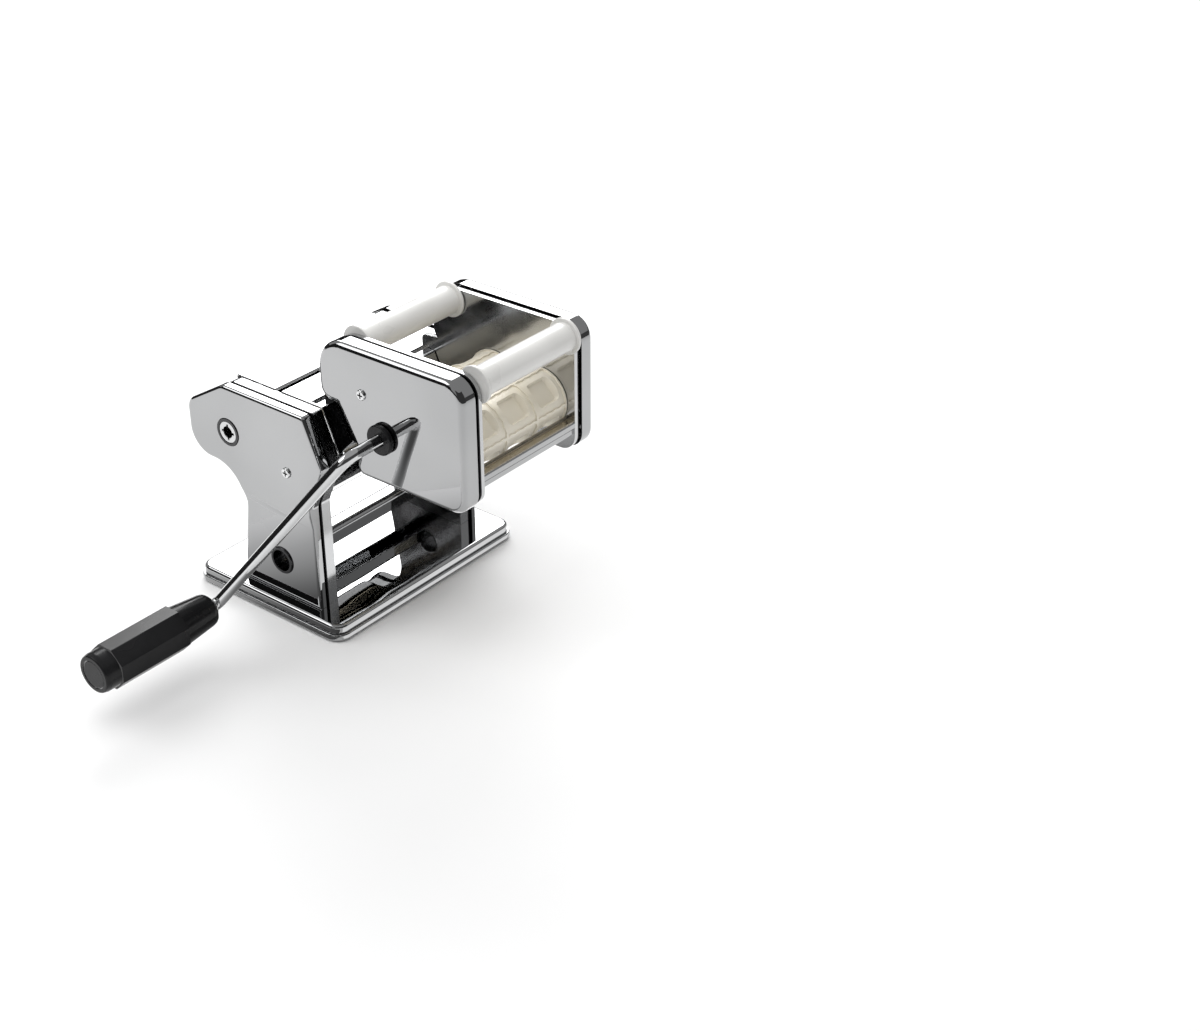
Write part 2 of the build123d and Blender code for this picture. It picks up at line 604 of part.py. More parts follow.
def bearing_block(side):
    """Block that slides along Y in its frame's window and carries one end of the gap roller."""
    y, z = GAP_ROLLER_Y, ROLLER_Z
    face = FRAME_OUT_X + SEAT_GAP
    block = bar(face, face + BLOCK_THICKNESS, y - BLOCK_WIDTH / 2, y + BLOCK_WIDTH / 2,
                z - BLOCK_HEIGHT / 2, z + BLOCK_HEIGHT / 2)
    block = fillet(block.edges().filter_by(Axis.X), BLOCK_CORNER)
    guide = BLOCK_GUIDE_HEIGHT / 2
    block += bar(SIDE_X + SEAT_GAP, face + OVERLAP, y - guide, y + guide, z - guide, z + guide)
    if side < 0:
        pin_y = y + CAM_R + SEAT_GAP + FOLLOWER_R
        block += rod(FOLLOWER_R, face + OVERLAP, face + BLOCK_THICKNESS + CAM_THICKNESS + FOLLOWER_PROUD, pin_y, z)
    block -= rod(GAP_JOURNAL_R + RUN_GAP, SIDE_X - OVERCUT, face + BLOCK_THICKNESS + OVERCUT, y, z)
    return block if side > 0 else mirrored(block)


# ---- gears

def gear(teeth, module, bore, x_from, x_to, y, z, turn):
    """Spur gear with the flanks named above; turn is in degrees."""
    pitch_r = teeth * module / 2
    step = 2 * pi / teeth
    half_tooth = [(pitch_r + height * module, share * step) for height, share in TOOTH_FLANK]
    points = []
    for tooth in range(teeth):
        middle = tooth * step + radians(turn)
        flank = [(r, middle - half) for r, half in half_tooth]
        flank += [(r, middle + half) for r, half in reversed(half_tooth)]
        points += [(r * cos(a), r * sin(a)) for r, a in flank]
    profile = make_face(Plane.YZ * Polyline(*points, close=True))
    blank = Pos(0, y, z) * slab(profile, x_from, x_to)
    return blank - rod(bore, x_from - OVERCUT, x_to + OVERCUT, y, z)


def drive_roller_gear():
    return gear(ROLLER_TEETH, ROLLER_MODULE, JOURNAL_R + RUN_GAP, GEAR_X, GEAR_X + GEAR_WIDTH,
                ROLLER_Y, ROLLER_Z, 0)


def gap_roller_gear():
    turn = 180 / ROLLER_TEETH if ROLLER_TEETH % 2 == 0 else 0
    return gear(ROLLER_TEETH, ROLLER_MODULE, GAP_JOURNAL_R + RUN_GAP, GEAR_X, GEAR_X + GEAR_WIDTH,
                GAP_ROLLER_Y, ROLLER_Z, turn)


# ---- rollers

def crank_socket(shaft, face_x, y, z):
    """Bore with key slots that takes the crank, opened from the -X end of a shaft."""
    end = face_x + SOCKET_DEPTH
    shaft -= rod(SOCKET_R, face_x - OVERCUT, end, y, z)
    for index in range(KEY_SLOTS // 2):
        slot = bar(face_x - OVERCUT, end, -KEY_SLOT_R, KEY_SLOT_R, -KEY_SLOT_WIDTH / 2, KEY_SLOT_WIDTH / 2)
        turn = 360 / KEY_SLOTS * index
        shaft -= Pos(0, y, z) * (Rot(turn, 0, 0) * slot)
    return shaft


def drive_roller():
    """Smooth roller in one piece with its journals; its hub takes the crank."""
    half = SIDE_X - ROLLER_END_GAP
    body = rod(ROLLER_R, -half, half, ROLLER_Y, ROLLER_Z)
    hub_end = -CASING_X - HUB_PROUD
    body += rod(HUB_R, hub_end, -half + OVERLAP, ROLLER_Y, ROLLER_Z)
    body += rod(JOURNAL_R, half - OVERLAP, GEAR_X + GEAR_WIDTH + JOURNAL_PROUD, ROLLER_Y, ROLLER_Z)
    return crank_socket(body, hub_end, ROLLER_Y, ROLLER_Z)


def gap_roller():
    half = SIDE_X - ROLLER_END_GAP
    block_end = FRAME_OUT_X + SEAT_GAP + BLOCK_THICKNESS
    body = rod(ROLLER_R, -half, half, GAP_ROLLER_Y, ROLLER_Z)
    body += rod(GAP_JOURNAL_R, -block_end, GEAR_X + GEAR_WIDTH + JOURNAL_PROUD, GAP_ROLLER_Y, ROLLER_Z)
    return body - rod(GAP_BORE_R, -SIDE_X * 2, SIDE_X * 2, GAP_ROLLER_Y, ROLLER_Z)


# ---- thickness setting

def adjusting_shaft():
    return rod(ADJUST_SHAFT_R, -CASING_X + SHEET + SHAFT_END_GAP, SHAFT_END, GAP_ROLLER_Y, ROLLER_Z)


def gap_cam():
    """Spiral cam: its radius grows evenly with the turn, so the gap opens evenly."""
    points = []
    for index in range(CAM_POINTS + 1):
        share = index / CAM_POINTS
        angle = -radians(DIAL_SWEEP * share)
        radius = CAM_R + GAP_TRAVEL * share
        points.append((radius * cos(angle), radius * sin(angle)))
    spiral = Spline(*points)
    profile = make_face(Plane.YZ * Curve([spiral, Line(points[-1], points[0])]))
    start, end = -GEAR_X, -GEAR_X - CAM_THICKNESS
    cam = Pos(0, GAP_ROLLER_Y, ROLLER_Z) * slab(profile, start, end)
    return cam - rod(ADJUST_SHAFT_R + RUN_GAP, start + OVERCUT, end - OVERCUT, GAP_ROLLER_Y, ROLLER_Z)


def shaft_cup():
    """Cup inside the near casing that holds the far end of the adjusting shaft."""
    start = -CASING_X + SHEET
    return tube(SHAFT_BUSH_R, ADJUST_SHAFT_R + RUN_GAP, start, start + CUP_DEPTH, GAP_ROLLER_Y, ROLLER_Z)


def dial_ring():
    """Plain ring with marks on the far casing; it also guides the adjusting shaft."""
    face = CASING_X + DIAL_RING
    ring = rod(DIAL_RING_R, CASING_X, face, GAP_ROLLER_Y, ROLLER_Z)
    ring = fillet(ring.edges().group_by(Axis.X)[-1], DIAL_RING_EDGE)
    inner_end = CASING_X - SHEET - DIAL_SLEEVE
    ring += rod(ADJUST_SHAFT_R + DIAL_SLEEVE - RUN_GAP, inner_end, face - DIAL_RING / 2, GAP_ROLLER_Y, ROLLER_Z)
    for index in range(DIAL_MARKS):
        mark = bar(face - DIAL_MARK_DEPTH, face + OVERCUT, DIAL_RING_R - DIAL_MARK_LENGTH, DIAL_RING_R + OVERCUT,
                   -DIAL_MARK_WIDTH / 2, DIAL_MARK_WIDTH / 2)
        ring -= Pos(0, GAP_ROLLER_Y, ROLLER_Z) * (Rot(index * DIAL_SWEEP / DIAL_MARKS, 0, 0) * mark)
    return ring - rod(ADJUST_SHAFT_R + RUN_GAP, inner_end - OVERCUT, face + OVERCUT, GAP_ROLLER_Y, ROLLER_Z)


def thickness_knob():
    """Fluted knob with a domed end."""
    start = CASING_X + DIAL_RING + KNOB_GAP
    end = start + KNOB_LENGTH
    knob = rod(KNOB_R, start, end, GAP_ROLLER_Y, ROLLER_Z)
    knob = fillet(knob.edges().group_by(Axis.X)[-1], KNOB_DOME)
    reach = KNOB_R + KNOB_FLUTE_OUT
    for index in range(KNOB_FLUTES):
        angle = 2 * pi * index / KNOB_FLUTES
        y, z = GAP_ROLLER_Y + reach * cos(angle), ROLLER_Z + reach * sin(angle)
        knob -= rod(KNOB_FLUTE_R, start + KNOB_SKIRT, end + OVERCUT, y, z)
    return knob - rod(ADJUST_SHAFT_R + RUN_GAP, start - OVERCUT, SHAFT_END, GAP_ROLLER_Y, ROLLER_Z)


# ---- attachment shell

def attachment_cap(side):
    """Deep drawn cap with a generous edge, open towards the plate it covers."""
    outline = attachment_outline()
    outer = pressed_block(outline, ATT_HALF, CAP_INNER_X, CAP_EDGE)
    inner = pressed_block(inset(outline, CAP_WALL), ATT_HALF - CAP_WALL, CAP_INNER_X - OVERCUT,
                          CAP_EDGE - CAP_WALL)
    cap = outer - inner
    cap -= rod(SCREW_SHANK_R + RUN_GAP, CAP_INNER_X, ATT_HALF + OVERCUT, *ATT_SCREW_AT)
    if side > 0:
        return cap
    cap -= rod(DRUM_SHAFT_R + SEAT_GAP, CAP_INNER_X, ATT_HALF + OVERCUT, DRUM_Y, DRUM_Z)
    return mirrored(cap)


def hook_outline():
    """The tongue of a plate that leans on the machine's nose and drops into its top slot."""
    half = HOOK_WIDTH / 2
    chamfer = (NOSE_Y - FRONT) / (TOP - NOSE_Z)
    slot_top = TOP + SEAT_GAP
    foot_z = ATT_BOTTOM + HOOK_FOOT_RISE
    foot_y = FRONT + chamfer * (TOP - foot_z) - HOOK_CHAMFER_GAP
    corners = ((ATT_BACK - HOOK_ROOT_IN, ATT_TOP - HOOK_ROOT_DROP), (HOOK_SLOT_Y + half, ATT_TOP - HOOK_ARM_DROP),
               (HOOK_SLOT_Y + half, TOP - HOOK_DROP), (HOOK_SLOT_Y - half, TOP - HOOK_DROP),
               (HOOK_SLOT_Y - half, slot_top), (FRONT - HOOK_NOSE_GAP, slot_top), (foot_y, foot_z),
               (ATT_BACK - HOOK_FOOT_IN, foot_z))
    return outline_face(corners, HOOK_RADII)


def attachment_plate(side):
    """Inner plate with a rim turned outwards and the hook that hangs the attachment on the machine."""
    outline = inset(attachment_outline(), ATT_INSET)
    inner_outline = inset(outline, HOOK_PLATE)
    plate = slab(outline, ATT_PLATE_X, ATT_RIM_X)
    plate -= slab(inner_outline, ATT_PLATE_X + HOOK_PLATE, ATT_RIM_X + OVERCUT)
    plate += slab(hook_outline() - inner_outline, ATT_PLATE_X, ATT_RIM_X)
    near = side < 0
    drive_r = (DRUM_SHAFT_R if near else DRUM_IDLE_JOURNAL_R) + BUSH_WALL
    cutters = ((drive_r, (DRUM_Y, DRUM_Z)), (DRUM_IDLE_JOURNAL_R + BUSH_WALL, (DRIVEN_Y, DRUM_Z)),
               (GUIDE_BORE_R, REAR_GUIDE_AT), (GUIDE_BORE_R, FRONT_GUIDE_AT))
    for radius, place in cutters:
        plate -= rod(radius + RUN_GAP, ATT_PLATE_X - OVERCUT, ATT_RIM_X + OVERCUT, *place)
    return mirrored(plate) if near else plate


def front_crossbar():
    """Stepped bar across the front, under the drums."""
    low, top = BAR_TOP_Z - BAR_HEIGHT, BAR_TOP_Z
    front = ATT_FRONT + ATT_INSET
    groove_low = (low + top - BAR_GROOVE) / 2
    groove_top = groove_low + BAR_GROOVE
    step, groove = front + BAR_STEP, front + 2 * BAR_STEP
    back = front + BAR_DEPTH
    corners = ((front, groove_top), (front, top), (back, top), (back, low), (step, low), (step, groove_low),
               (groove, groove_low), (groove, groove_top))
    return slab(outline_face(corners, BAR_RADII), -ATT_PLATE_X, ATT_PLATE_X)


def across_nip(shape):
    """The same piece at the other drum."""
    return mirror(shape, about=Plane(origin=(0, NIP_Y, 0), z_dir=(0, 1, 0)))


def rear_crossbar():
    return across_nip(front_crossbar())


def front_drum_scraper():
    """Sheet lying on the front crossbar and bent up to just under the drum's ridges."""
    reach = DRUM_RIDGE_R + DRUM_SCRAPER_GAP
    angle = radians(DRUM_SCRAPER_ANGLE)
    level = BAR_TOP_Z + SCRAPER / 2
    bar_front = ATT_FRONT + ATT_INSET
    points = ((bar_front + SCRAPER, level), (bar_front + BAR_DEPTH, level),
              (DRIVEN_Y - reach * cos(angle), DRUM_Z - reach * sin(angle)))
    return strip(points, DRUM_SCRAPER_BEND, SCRAPER, ATT_PLATE_X)


def rear_drum_scraper():
    return across_nip(front_drum_scraper())


def cap_posts():
    """Spacers between plates and caps that take the cap screws."""
    length_from = ATT_PLATE_X + HOOK_PLATE
    post = tube(POST_R, SCREW_SHANK_R + RUN_GAP, length_from, ATT_HALF - CAP_WALL, *ATT_SCREW_AT)
    return [post, mirrored(post)]


def cap_screws():
    return pair_of_screws(ATT_HALF, CAP_SCREW_LENGTH, *ATT_SCREW_AT)


# ---- drums

def drum(axis_y, bore):
    """Moulding drum: pockets for the filling between cutting ridges that run in zigzags."""
    pitch_x = 2 * DRUM_HALF / POCKETS_ALONG
    turn_step = 360 / POCKETS_ROUND
    pocket = pocket_cutter(pitch_x)
    pockets = [Rot(turn_step * (row + 0.5), 0, 0) * (Pos(-DRUM_HALF + (column + 0.5) * pitch_x, 0, 0) * pocket)
               for row in range(POCKETS_ROUND) for column in range(POCKETS_ALONG)]
    ridges = [Rot(turn_step * row, 0, 0) * long_ridge() for row in range(POCKETS_ROUND)]
    ridges += [round_ridge(-DRUM_HALF + column * pitch_x) for column in range(POCKETS_ALONG + 1)]
    body = rod(DRUM_R, -DRUM_HALF, DRUM_HALF, 0, 0) - pockets + ridges
    body &= rod(DRUM_RIDGE_R, -DRUM_HALF, DRUM_HALF, 0, 0)
    body -= rod(bore, -DRUM_HALF - OVERCUT, DRUM_HALF + OVERCUT, 0, 0)
    return Pos(0, axis_y, DRUM_Z) * body


def pocket_cutter(pitch_x):
    """Round cornered well that narrows inwards, looking along +Z from the drum's axis."""
    arc_length = 2 * pi * DRUM_R / POCKETS_ROUND
    wide = pitch_x - 2 * POCKET_MARGIN
    long = arc_length - 2 * POCKET_END_MARGIN
    mouth = Pos(0, 0, DRUM_R + OVERCUT) * RectangleRounded(wide, long, POCKET_CORNER)
    floor = RectangleRounded(wide * POCKET_TAPER, long * POCKET_TAPER, POCKET_CORNER * POCKET_TAPER)
    floor = Pos(0, 0, DRUM_R - POCKET_DEPTH) * floor
    return loft([floor, mouth])


def sideways(index):
    """A zigzag's offset at its successive corners."""
    return ZIGZAG / 2 if index % 2 else -ZIGZAG / 2


def long_ridge():
    """Zigzag ridge along the drum, standing on its top at +Z."""
    corners = 2 * ZIGZAGS_ALONG * POCKETS_ALONG
    step = 2 * DRUM_HALF / corners
    line = [(-DRUM_HALF + step * index, sideways(index)) for index in range(corners + 1)]
    one_side = [(x, y - RIDGE_WIDTH / 2) for x, y in line]
    other_side = [(x, y + RIDGE_WIDTH / 2) for x, y in reversed(line)]
    face = make_face(Polyline(*one_side, *other_side, close=True))
    return Pos(0, 0, DRUM_R - RIDGE_ROOT) * extrude(face, amount=DRUM_RIDGE_R - DRUM_R + RIDGE_ROOT)


def round_ridge(x):
    """Zigzag ridge round the drum: two half rings lofted through radial sections."""
    height = DRUM_RIDGE_R - DRUM_R + RIDGE_ROOT
    corners = 2 * ZIGZAGS_ROUND
    sections = []
    for index in range(corners + 1):
        blade = Plane.XZ * Pos(x + sideways(index), DRUM_RIDGE_R - height / 2) * Rectangle(RIDGE_WIDTH, height)
        sections.append(Rot(360 * index / corners, 0, 0) * blade)
    return loft(sections[:ZIGZAGS_ROUND + 1], ruled=True) + loft(sections[ZIGZAGS_ROUND:], ruled=True)


def drive_drum_shaft():
    """Shaft whose near end carries the socket for the crank."""
    end = DRUM_GEAR_X + GEAR_WIDTH + DRUM_SHAFT_PROUD
    shaft = rod(DRUM_SHAFT_R, SOCKET_X, DRUM_HALF, DRUM_Y, DRUM_Z)
    shaft += rod(DRUM_IDLE_JOURNAL_R, DRUM_HALF - OVERLAP, end, DRUM_Y, DRUM_Z)
    return crank_socket(shaft, SOCKET_X, DRUM_Y, DRUM_Z)


def driven_drum_shaft():
    return rod(DRUM_IDLE_JOURNAL_R, -ATT_RIM_X, DRUM_GEAR_X + GEAR_WIDTH + DRUM_SHAFT_PROUD, DRIVEN_Y, DRUM_Z)


def drum_gear(axis_y, turn):
    return gear(DRUM_TEETH, DRUM_MODULE, DRUM_IDLE_JOURNAL_R + RUN_GAP, DRUM_GEAR_X, DRUM_GEAR_X + GEAR_WIDTH,
                axis_y, DRUM_Z, turn)


def drum_bushes():
    inner, outer = ATT_PLATE_X, ATT_PLATE_X + HOOK_PLATE + BUSH_FLANGE
    small = DRUM_IDLE_JOURNAL_R
    return [bush(DRUM_SHAFT_R + RUN_GAP, DRUM_SHAFT_R + BUSH_WALL, -inner, -outer, DRUM_Y, DRUM_Z),
            bush(small + RUN_GAP, small + BUSH_WALL, inner, outer, DRUM_Y, DRUM_Z),
            bush(small + RUN_GAP, small + BUSH_WALL, -inner, -outer, DRIVEN_Y, DRUM_Z),
            bush(small + RUN_GAP, small + BUSH_WALL, inner, outer, DRIVEN_Y, DRUM_Z)]


# ---- guide rollers

def guide_roller(place):
    """White plastic roller with a flange at each end that the dough sheet hangs over."""
    half = ATT_PLATE_X - DRUM_END_GAP
    roller = rod(GUIDE_R, -half, half, *place)
    for end in (-half, half):
        flange = rod(GUIDE_FLANGE_R, end, end - GUIDE_FLANGE * (1 if end > 0 else -1), *place)
        roller += fillet(flange.edges(), GUIDE_FLANGE_EDGE)
    return roller - rod(GUIDE_BORE_R, -half - OVERCUT, half + OVERCUT, *place)


def guide_pin(place):
    return rod(GUIDE_BORE_R - RUN_GAP, -ATT_RIM_X, ATT_RIM_X, *place)


# ---- crank

def crank_rod():
    """Bent rod: socket end with keys, shaft, slanted arm and the elbow that carries the grip."""
    x0 = SOCKET_X + CRANK_INSERT
    end_x, end_y, end_z = CRANK_END
    rod_end = end_x - ELBOW_RUN
    points = ((x0, DRUM_Y, DRUM_Z), (CRANK_BEND_X, DRUM_Y, DRUM_Z), CRANK_END, (rod_end, end_y, end_z))
    path = FilletPolyline(*points, radius=(CRANK_BEND_R, CRANK_ELBOW_R))
    bent = sweep(Plane(origin=points[0], z_dir=(-1, 0, 0)) * Circle(CRANK_ROD_R), path=path)
    for index in range(KEY_SLOTS // 2):
        key = bar(SOCKET_X + KEY_START, x0, -KEY_SLOT_R + SEAT_GAP, KEY_SLOT_R - SEAT_GAP,
                  (SEAT_GAP - KEY_SLOT_WIDTH) / 2, (KEY_SLOT_WIDTH - SEAT_GAP) / 2)
        bent += Pos(0, DRUM_Y, DRUM_Z) * (Rot(360 / KEY_SLOTS * index, 0, 0) * key)
    return bent + rod(SPINDLE_R, rod_end + OVERLAP, SPINDLE_END, end_y, end_z)


def crank_collar():
    start = -ATT_HALF - COLLAR_GAP
    end = start - COLLAR_THICKNESS
    collar = rod(COLLAR_R, start, end, DRUM_Y, DRUM_Z)
    collar = fillet(collar.edges(), COLLAR_EDGE)
    return collar - rod(CRANK_ROD_R + RUN_GAP, start + OVERCUT, end - OVERCUT, DRUM_Y, DRUM_Z)


def ferrule():
    x, y, z = CRANK_END
    start = x - ELBOW_RUN
    ring = fillet(rod(FERRULE_R, start, start - FERRULE, y, z).edges(), FERRULE_EDGE)
    return ring - rod(SPINDLE_R + RUN_GAP, start + OVERCUT, start - FERRULE - OVERCUT, y, z)


def crank_grip():
    """Tapered grip: round at both ends, with eight raised flats in the middle."""
    x, y, z = CRANK_END
    start, end = GRIP_X, GRIP_X - GRIP_LENGTH
    flat_from = start - GRIP_FLAT_FROM
    points = ((start, 0), (start, GRIP_NECK_R), (start - GRIP_NECK, GRIP_NECK_R + GRIP_NECK_RISE),
              (flat_from, GRIP_R), (end + GRIP_END, GRIP_R - GRIP_END_START), (end, GRIP_R - GRIP_END_FALL),
              (end, 0))
    profile = make_face(Plane.XY * FilletPolyline(*points, radius=GRIP_RADII, close=True))
    body = revolve(profile, axis=Axis.X)
    flats = RegularPolygon(GRIP_FLATS / 2, GRIP_SIDES, major_radius=False, rotation=180 / GRIP_SIDES)
    prism = slab((Plane.YZ * flats).face(), flat_from, flat_from - GRIP_FLAT_LENGTH)
    body += fillet(prism.edges().filter_by(Axis.X), GRIP_FLAT_EDGE)
    body -= rod(SPINDLE_R + RUN_GAP, start + OVERCUT, SPINDLE_END - OVERCUT, 0, 0)
    body -= rod(GRIP_CAP_R + SEAT_GAP, end + GRIP_CAP, end - OVERCUT, 0, 0)
    return Pos(0, y, z) * body


def grip_cap():
    x, y, z = CRANK_END
    end = GRIP_X - GRIP_LENGTH
    cap = rod(GRIP_CAP_R, end + GRIP_CAP, end + SEAT_GAP, y, z)
    return fillet(cap.edges().group_by(Axis.X)[0], GRIP_CAP_EDGE)


NODES = {
    "base_plate": base_plate,
    "base_pad": base_pad,
    "near_side_casing": near_casing,
    "far_side_casing": far_casing,
    "near_side_frame": lambda: mirrored(frame(HUB_RING_R)),
    "far_side_frame": lambda: frame(JOURNAL_R + BUSH_WALL),
    "top_cover": top_cover,
    "front_cover": front_cover,
    "lower_stretcher": lower_stretcher,
    "roller_guard": roller_guard,
    "drive_roller_scraper": lambda: scraper(ROLLER_Y, -1, SCRAPER_DROP),
    "gap_roller_scraper": lambda: scraper(GAP_ROLLER_Y, 1, GAP_SCRAPER_DROP),
    "tie_rods": tie_rods,
    "casing_screws": casing_screws,
    "frame_screws": frame_screws,
    "near_clamp_bush": lambda: clamp_bush(-1),
    "far_clamp_bush": lambda: clamp_bush(1),
    "crank_hub_bush": hub_bush,
    "drive_roller_bush": drive_roller_bush,
    "drive_roller": drive_roller,
    "drive_roller_gear": drive_roller_gear,
    "near_bearing_block": lambda: bearing_block(-1),
    "far_bearing_block": lambda: bearing_block(1),
    "gap_roller": gap_roller,
    "gap_roller_gear": gap_roller_gear,
    "adjusting_shaft": adjusting_shaft,
    "gap_cam": gap_cam,
    "adjusting_shaft_cup": shaft_cup,
    "dial_ring": dial_ring,
    "thickness_knob": thickness_knob,
    "attachment_near_cap": lambda: attachment_cap(-1),
    "attachment_far_cap": lambda: attachment_cap(1),
    "attachment_near_plate": lambda: attachment_plate(-1),
    "attachment_far_plate": lambda: attachment_plate(1),
    "front_crossbar": front_crossbar,
    "rear_crossbar": rear_crossbar,
    "front_drum_scraper": front_drum_scraper,
    "rear_drum_scraper": rear_drum_scraper,
    "cap_posts": cap_posts,
    "cap_screws": cap_screws,
    "drum_bushes": drum_bushes,
    "drive_drum": lambda: drum(DRUM_Y, DRUM_SHAFT_R + RUN_GAP),
    "driven_drum": lambda: drum(DRIVEN_Y, DRUM_IDLE_JOURNAL_R + RUN_GAP),
    "drive_drum_shaft": drive_drum_shaft,
    "driven_drum_shaft": driven_drum_shaft,
    "drive_drum_gear": lambda: drum_gear(DRUM_Y, 0),
    "driven_drum_gear": lambda: drum_gear(DRIVEN_Y, 180 / DRUM_TEETH),
    "rear_guide_roller": lambda: guide_roller(REAR_GUIDE_AT),
    "front_guide_roller": lambda: guide_roller(FRONT_GUIDE_AT),
    "rear_guide_pin": lambda: guide_pin(REAR_GUIDE_AT),
    "front_guide_pin": lambda: guide_pin(FRONT_GUIDE_AT),
    "crank_rod": crank_rod,
    "crank_collar": crank_collar,
    "crank_ferrule": ferrule,
    "crank_grip": crank_grip,
    "grip_end_cap": grip_cap,
}


def write_node(name, make):
    shape = make()
    solids = shape if isinstance(shape, list) else [shape]
    solids = [solid for item in solids for solid in item.solids()]
    whole = solids[0] if len(solids) == 1 else Compound(children=solids)
    export_step(whole, f"parts/{name}.step")
    return whole


os.makedirs("parts", exist_ok=True)
for node_name, maker in NODES.items():
    write_node(node_name, maker)
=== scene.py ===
import json
import math

import bmesh
import bpy
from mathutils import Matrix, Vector


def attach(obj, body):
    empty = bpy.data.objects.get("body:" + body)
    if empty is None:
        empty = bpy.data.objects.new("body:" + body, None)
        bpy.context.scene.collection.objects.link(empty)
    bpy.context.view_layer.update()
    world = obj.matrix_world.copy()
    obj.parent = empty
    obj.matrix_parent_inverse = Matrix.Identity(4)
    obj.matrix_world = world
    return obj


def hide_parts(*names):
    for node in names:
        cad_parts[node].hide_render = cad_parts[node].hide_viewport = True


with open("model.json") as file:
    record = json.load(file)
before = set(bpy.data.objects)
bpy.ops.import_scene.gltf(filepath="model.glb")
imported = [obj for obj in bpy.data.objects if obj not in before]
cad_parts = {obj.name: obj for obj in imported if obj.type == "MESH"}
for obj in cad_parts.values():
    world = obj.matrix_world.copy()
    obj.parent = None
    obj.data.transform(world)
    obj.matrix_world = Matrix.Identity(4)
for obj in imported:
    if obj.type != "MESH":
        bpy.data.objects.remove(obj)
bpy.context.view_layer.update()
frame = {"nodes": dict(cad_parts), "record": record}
NODES = frame["nodes"]

# Everything is in metres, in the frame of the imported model: +Z up, the crank on -X, the attachment on -Y.
MM = 0.001


# ---------------------------------------------------------------- materials

# the parts of a noise texture's values that are stretched over a whole range
ROUGHNESS_SPREAD = (0.30, 0.70)
TINT_SPREAD = (0.35, 0.65)


def node_material(name, kind="ShaderNodeBsdfPrincipled"):
    """A material of one shader; returns it with its node tree and that shader."""
    mat = bpy.data.materials.new(name)
    mat.use_nodes = True
    tree = mat.node_tree
    tree.nodes.clear()
    out = tree.nodes.new("ShaderNodeOutputMaterial")
    shader = tree.nodes.new(kind)
    tree.links.new(shader.outputs[0], out.inputs["Surface"])
    return mat, tree, shader


def noise(tree, scale, detail=2.0, roughness=0.5, stretch=(1.0, 1.0, 1.0)):
    """Noise in object space, stretched along the axes; returns its value's socket."""
    coords = tree.nodes.new("ShaderNodeTexCoord")
    mapping = tree.nodes.new("ShaderNodeMapping")
    mapping.inputs["Scale"].default_value = stretch
    tex = tree.nodes.new("ShaderNodeTexNoise")
    tex.inputs["Scale"].default_value = scale
    tex.inputs["Detail"].default_value = detail
    tex.inputs["Roughness"].default_value = roughness
    tree.links.new(coords.outputs["Object"], mapping.inputs["Vector"])
    tree.links.new(mapping.outputs["Vector"], tex.inputs["Vector"])
    return tex.outputs["Fac"]


def ranged(tree, value, low, high):
    """Maps a texture's value to the range from low to high; returns the result's socket."""
    node = tree.nodes.new("ShaderNodeMapRange")
    node.inputs["From Min"].default_value, node.inputs["From Max"].default_value = ROUGHNESS_SPREAD
    node.inputs["To Min"].default_value, node.inputs["To Max"].default_value = low, high
    tree.links.new(value, node.inputs["Value"])
    return node.outputs["Result"]


def tinted(tree, value, dark, light):
    """Mixes two colours by a texture's value; returns the colour's socket."""
    ramp = tree.nodes.new("ShaderNodeValToRGB")
    for element, position, colour in zip(ramp.color_ramp.elements, TINT_SPREAD, (dark, light)):
        element.position = position
        element.color = (*colour, 1.0)
    tree.links.new(value, ramp.inputs["Fac"])
    return ramp.outputs["Color"]


def bumped(tree, bsdf, layers):
    """Chains bump nodes into the shader's normal: a layer is a height socket, a distance and a strength."""
    normal = None
    for height, distance, strength in layers:
        bump = tree.nodes.new("ShaderNodeBump")
        bump.inputs["Distance"].default_value = distance
        bump.inputs["Strength"].default_value = strength
        tree.links.new(height, bump.inputs["Height"])
        if normal is not None:
            tree.links.new(normal, bump.inputs["Normal"])
        normal = bump.outputs["Normal"]
    tree.links.new(normal, bsdf.inputs["Normal"])


def metal(name, dark, light, rough, wave, grain=None):
    """Plated or bare metal: slow waves of the sheet, faint smears and, where it has a grain, fine lines."""
    mat, tree, bsdf = node_material(name)
    smear = noise(tree, scale=34.0, detail=4.0, roughness=0.6)
    cloud = noise(tree, scale=9.0)
    bsdf.inputs["Metallic"].default_value = 1.0
    tree.links.new(tinted(tree, cloud, dark, light), bsdf.inputs["Base Color"])
    tree.links.new(ranged(tree, smear, *rough), bsdf.inputs["Roughness"])
    layers = [(cloud, wave, 1.0)]
    if grain is not None:
        lines = noise(tree, scale=260.0, stretch=grain)
        layers.append((lines, 0.04 * MM, 0.35))
    bumped(tree, bsdf, layers)
    return mat


def plastic(name, dark, light, rough, coat=0.0, pebble=0.0, specular=0.5):
    """Moulded plastic or rubber: a little colour variation, a moulded texture and a soft gloss."""
    mat, tree, bsdf = node_material(name)
    cloud = noise(tree, scale=22.0, detail=3.0)
    fine = noise(tree, scale=900.0, roughness=0.6)
    tree.links.new(tinted(tree, cloud, dark, light), bsdf.inputs["Base Color"])
    tree.links.new(ranged(tree, cloud, *rough), bsdf.inputs["Roughness"])
    bsdf.inputs["Coat Weight"].default_value = coat
    bsdf.inputs["Coat Roughness"].default_value = 0.08
    bsdf.inputs["Specular IOR Level"].default_value = specular
    bumped(tree, bsdf, [(cloud, 0.1 * MM, 0.3), (fine, 0.03 * MM, 0.2 + pebble)])
    return mat


